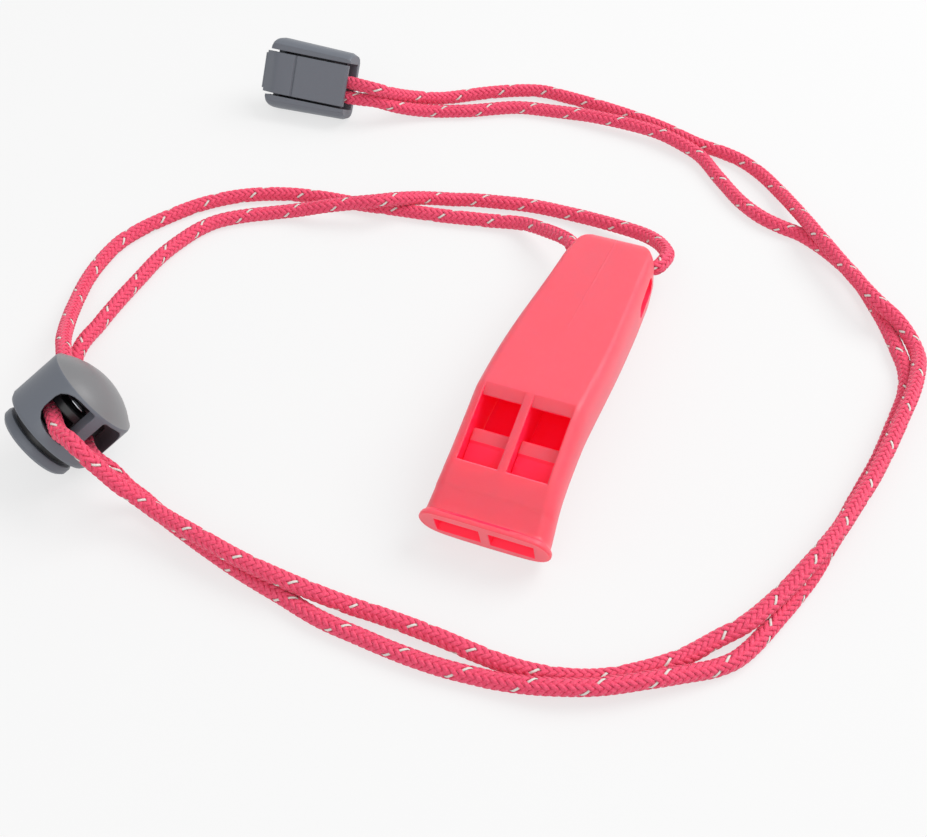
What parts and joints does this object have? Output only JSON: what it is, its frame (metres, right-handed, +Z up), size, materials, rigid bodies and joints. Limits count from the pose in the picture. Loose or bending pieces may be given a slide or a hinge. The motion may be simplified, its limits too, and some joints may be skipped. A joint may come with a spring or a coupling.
{
  "type": "training whistle",
  "caption": "Flat pealess training whistle in moulded red plastic on a red braided cord lanyard, with a sprung round cord lock and a hinged cord-end clip.",
  "frame": {"origin": "on the floor under the middle of the whistle", "axes": "+Z up, +Y along the whistle from the mouth to the cord end, +X across it"},
  "size_m": [0.1594, 0.1565, 0.0205],
  "materials": {
    "whistle_red": "satin moulded plastic",
    "cord_red": "braided polyester",
    "lock_grey": "fine matt moulded plastic",
    "spring_black": "blackened wire"
  },
  "bodies": {
    "lanyard": {"lanyard_cord": "cord_red", "cord_end_base": "lock_grey"},
    "whistle": {"whistle_body": "whistle_red", "whistle_base": "whistle_red"},
    "lock": {"lock_barrel": "lock_grey", "lock_spring": "spring_black"},
    "plunger": {"lock_plunger": "lock_grey"},
    "lid": {"cord_end_lid": "lock_grey"}
  },
  "joints": [
    {"name": "whistle_swing", "type": "hinge", "parent": "lanyard", "child": "whistle", "pos_m": [0, 0.0348, 0.0074], "axis": [-1, 0, 0], "range_deg": [0, 90]},
    {"name": "lock_slide", "type": "slide", "parent": "lanyard", "child": "lock", "axis": [0.6784, -0.707, 0.1998], "range_m": [-0.001, 0.002]},
    {"name": "plunger_press", "type": "slide", "parent": "lock", "child": "plunger", "axis": [0.5525, 0.6703, 0.4955], "range_m": [0, 0.0012], "stiffness_N_per_m": 600, "springref_m": -0.005, "deforming": ["lock_spring"]},
    {"name": "lid_hinge", "type": "hinge", "parent": "lanyard", "child": "lid", "pos_m": [-0.09264, 0.07041, 0.00748], "axis": [0.0114, -0.5445, -0.8387], "range_deg": [0, 110]}
  ]
}
